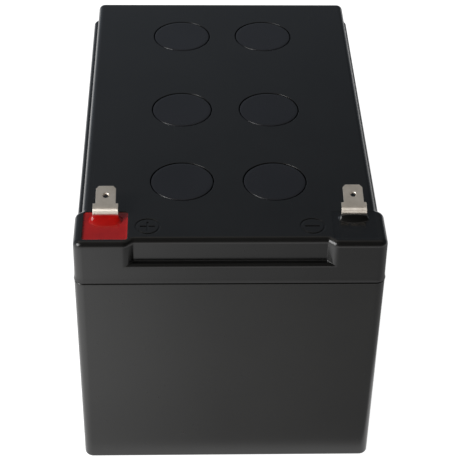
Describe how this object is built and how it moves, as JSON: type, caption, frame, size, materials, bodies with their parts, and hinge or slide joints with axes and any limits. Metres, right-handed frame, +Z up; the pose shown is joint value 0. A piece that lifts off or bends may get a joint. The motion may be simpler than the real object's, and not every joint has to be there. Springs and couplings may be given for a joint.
{
  "type": "sealed lead acid battery",
  "caption": "Box-shaped sealed lead acid battery with stepped lid, round vent covers and two blade terminals set in red and black epoxy.",
  "frame": {"origin": "middle of the container's underside", "axes": "+Z up, +Y along the length away from the terminals, +X across, with the positive terminal at -X"},
  "size_m": [0.0988, 0.1518, 0.0999],
  "materials": {
    "case_plastic": "moulded semi-gloss",
    "lid_plastic": "moulded semi-gloss",
    "cover_plastic": "moulded semi-gloss",
    "cap_rubber": "matte",
    "tinned_brass": "tin plated, satin",
    "epoxy_red": "cast, glossy",
    "epoxy_black": "cast, glossy",
    "lead": "cast lead, dull",
    "positive_paste": "pasted lead plate, matte",
    "negative_paste": "pasted lead plate, matte",
    "glass_mat": "glass fibre mat, matte"
  },
  "bodies": {
    "root": {"container": "case_plastic", "lid": "lid_plastic", "vent_cover_1": "cover_plastic", "vent_cover_2": "cover_plastic", "vent_cover_3": "cover_plastic", "vent_cover_4": "cover_plastic", "vent_cover_5": "cover_plastic", "vent_cover_6": "cover_plastic", "valve_cap_1": "cap_rubber", "valve_cap_2": "cap_rubber", "valve_cap_3": "cap_rubber", "valve_cap_4": "cap_rubber", "valve_cap_5": "cap_rubber", "valve_cap_6": "cap_rubber", "terminal_positive": "tinned_brass", "terminal_negative": "tinned_brass", "seal_positive": "epoxy_red", "seal_negative": "epoxy_black", "post_positive": "lead", "post_negative": "lead", "intercell_link_1": "lead", "intercell_link_2": "lead", "intercell_link_3": "lead", "intercell_link_4": "lead", "intercell_link_5": "lead", "positive_plates_1": "positive_paste", "positive_plates_2": "positive_paste", "positive_plates_3": "positive_paste", "positive_plates_4": "positive_paste", "positive_plates_5": "positive_paste", "positive_plates_6": "positive_paste", "negative_plates_1": "negative_paste", "negative_plates_2": "negative_paste", "negative_plates_3": "negative_paste", "negative_plates_4": "negative_paste", "negative_plates_5": "negative_paste", "negative_plates_6": "negative_paste", "separators_1": "glass_mat", "separators_2": "glass_mat", "separators_3": "glass_mat", "separators_4": "glass_mat", "separators_5": "glass_mat", "separators_6": "glass_mat"}
  },
  "joints": []
}
